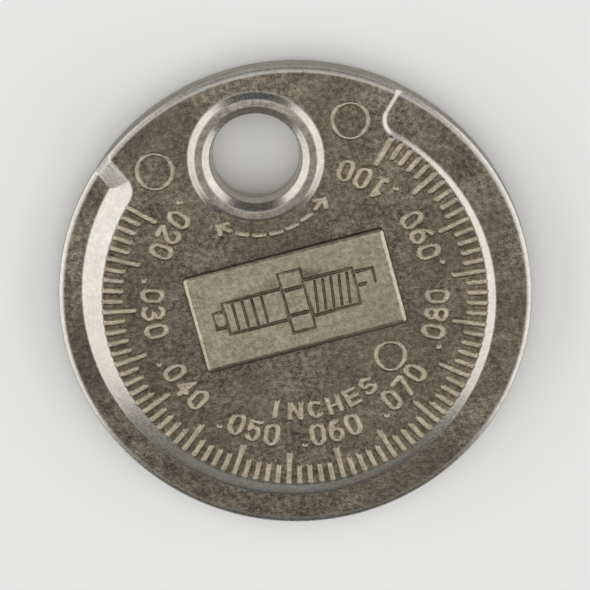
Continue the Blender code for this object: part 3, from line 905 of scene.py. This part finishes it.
# Wear on the flanks and crests of the marks, with a painted sheen on the flanks, and painted shade in their
# corners
FLANK_WEAR_AND_SHEEN = (0.25, 0.95)
PAD_EDGE_WEAR_AND_SHEEN = 0.6
CREST_WEAR = (0.3, 0.9, 0.0, 0.8)
# Painted shade: how far ambient occlusion looks, and how much it darkens corners and the ground between
# close marks
CORNER_REACH = 0.0005
CORNER_SAMPLES = 8
CORNER_SHADE = (0.30, 0.90, 0.70, 1.0)

# Roughness, and strength of the grain's bump
CAST_ROUGHNESS = (0.50, 0.34)
PAD_ROUGHNESS = 0.38
FLANK_ROUGHNESS = 0.32
SMOOTH_ROUGHNESS = (0.26, 0.36)
CAST_BUMP = 0.9
PAD_BUMP = 0.45
SMOOTH_BUMP = 0.07
FLANK_SMOOTHNESS = 0.8
BUMP_HEIGHT = 0.00005


def stained(make, mottle, stain, dark, light, stain_colour, strength):
    """The metal's mottled colour, with stains in it."""
    metal = make.mix(mottle, dark, light)
    return make.mix(make.math("MULTIPLY", stain, strength), metal, stain_colour)


def plated_zinc():
    """Nickel-like plating on a die casting: grainy faces, a finer pad, and a smooth wall, ring and rim."""
    make = Nodes("plated_zinc")
    place = make.place()
    names = ("pad", "pad_edge", "groove", "crest", "flank", "bright")
    pad, pad_edge, groove, crest, flank, bright = (make.attribute(name) for name in names)
    # Flanks and the pad's edges: wear, and partly a painted sheen that stands in for glints
    flank = make.math("MAXIMUM", flank, make.math("MULTIPLY", pad_edge, PAD_EDGE_WEAR_AND_SHEEN))
    flank = make.spread(flank, *FLANK_WEAR_AND_SHEEN)
    patterns = (BLOTCHES, GRAIN, SPECKLES, STAINS, PATINA)
    blotch, grain, speckle, stain, patina = (make.pattern(place, *pattern) for pattern in patterns)
    grit = make.blend(SPECKLE_SHARE, grain, speckle)
    mottle = make.blend(BLOTCH_SHARE, grit, blotch)

    cast = make.mix(1.0, stained(make, mottle, stain, *CAST_METAL), patina, "MULTIPLY")
    top = stained(make, mottle, stain, *PAD_METAL)
    # Painted shade: the grooves of the plug picture are darkened
    top = make.mix(make.math("MULTIPLY", groove, GROOVE_SHADE_STRENGTH), top, GROOVE_SHADE_COLOUR)
    colour = make.mix(pad, cast, top)
    colour = make.mix(make.spread(crest, *CREST_WEAR), colour, make.mix(mottle, *CREST_METAL))
    # Flanks: worn metal with a painted sheen
    colour = make.mix(flank, colour, make.mix(mottle, *FLANK_WORN_AND_SHEEN_METAL))
    colour = make.mix(bright, colour, stained(make, mottle, stain, *SMOOTH_METAL))
    # Painted shade: the colour is darkened where ambient occlusion finds corners and narrow gaps
    shade = make.spread(make.occlusion(CORNER_REACH, CORNER_SAMPLES), *CORNER_SHADE)
    make.put(make.shader.inputs["Base Color"], make.mix(1.0, colour, shade, "MULTIPLY"))
    make.shader.inputs["Metallic"].default_value = 1.0

    rough = make.blend(mottle, *CAST_ROUGHNESS)
    rough = make.blend(pad, rough, PAD_ROUGHNESS)
    rough = make.blend(flank, rough, FLANK_ROUGHNESS)
    rough = make.blend(bright, rough, make.blend(speckle, *SMOOTH_ROUGHNESS))
    make.put(make.shader.inputs["Roughness"], rough)

    smooth = make.spread(bright, 0.0, RIM_SIDE_BRIGHTNESS)
    smooth = make.math("MAXIMUM", smooth, make.math("MULTIPLY", flank, FLANK_SMOOTHNESS))
    strength = make.blend(smooth, make.blend(pad, CAST_BUMP, PAD_BUMP), SMOOTH_BUMP)
    make.put(make.shader.inputs["Normal"], make.bump(grit, strength, BUMP_HEIGHT))
    return make.material


def pale_floor():
    make = Nodes("pale_floor")
    make.shader.inputs["Base Color"].default_value = FLOOR_COLOUR
    make.shader.inputs["Roughness"].default_value = FLOOR_ROUGHNESS
    make.shader.inputs["Specular IOR Level"].default_value = FLOOR_SPECULAR
    return make.material


# Camera, lights and floor


def picture_axes():
    """The picture's right and up directions on the floor."""
    up = Vector((math.sin(GAUGE_TURN), math.cos(GAUGE_TURN), 0))
    return Vector((up.y, -up.x, 0)), up


def make_camera(target):
    right, up = picture_axes()
    towards = (Vector((0, 0, math.cos(CAMERA_TILT))) + up * math.sin(CAMERA_TILT)).normalized()
    data = bpy.data.cameras.new("camera")
    data.lens = data.sensor_width * CAMERA_DISTANCE / VIEW_WIDTH
    data.clip_start = NEAREST_SEEN
    camera = bpy.data.objects.new("camera", data)
    turn = Matrix((right, towards.cross(right), towards)).transposed()
    camera.matrix_world = Matrix.Translation(target + towards * CAMERA_DISTANCE) @ turn.to_4x4()
    bpy.context.scene.collection.objects.link(camera)
    bpy.context.scene.camera = camera


def soft_box(name, target, direction):
    """A rectangular lamp that faces the target. Its strength is the brightness of its face."""
    data = bpy.data.lights.new(name, "AREA")
    data.shape = "RECTANGLE"
    data.size = LAMP_WIDTH
    data.size_y = LAMP_HEIGHT
    data.energy = LAMP_STRENGTH * math.pi * LAMP_WIDTH * LAMP_HEIGHT
    lamp = bpy.data.objects.new(name, data)
    direction = direction.normalized()
    lamp.location = target + direction * LAMP_DISTANCE
    lamp.rotation_mode = "QUATERNION"
    lamp.rotation_quaternion = direction.to_track_quat("Z", "Y")
    bpy.context.scene.collection.objects.link(lamp)


def make_lights(target):
    right, _ = picture_axes()
    above = Vector((0, 0, LAMP_RISE))
    soft_box("left_box", target, above - right)
    soft_box("right_box", target, above + right)
    world = bpy.data.worlds.new("studio")
    world.use_nodes = True
    nodes, links = world.node_tree.nodes, world.node_tree.links
    direction = nodes.new("ShaderNodeSeparateXYZ")
    links.new(nodes.new("ShaderNodeTexCoord").outputs["Generated"], direction.inputs[0])
    glow = nodes.new("ShaderNodeMapRange")
    glow.interpolation_type = "SMOOTHSTEP"
    links.new(direction.outputs["Z"], glow.inputs["Value"])
    for name, value in SKY.items():
        glow.inputs[name].default_value = value
    links.new(glow.outputs["Result"], nodes["Background"].inputs["Color"])
    bpy.context.scene.world = world


def make_floor():
    mesh = bpy.data.meshes.new("floor")
    corners = [(x * FLOOR_REACH, y * FLOOR_REACH, 0) for x, y in ((-1, -1), (1, -1), (1, 1), (-1, 1))]
    mesh.from_pydata(corners, [], [(0, 1, 2, 3)])
    mesh.materials.append(pale_floor())
    floor = bpy.data.objects.new("floor", mesh)
    bpy.context.scene.collection.objects.link(floor)


def main():
    gauge = gauge_piece()
    gauge.data.materials.append(plated_zinc())
    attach(gauge, "root")
    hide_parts("gauge_disc")
    middle = Vector((0, 0, MIDDLE_HEIGHT))
    make_camera(middle)
    make_lights(middle)
    make_floor()
    bpy.context.scene.view_settings.view_transform = "Standard"


main()
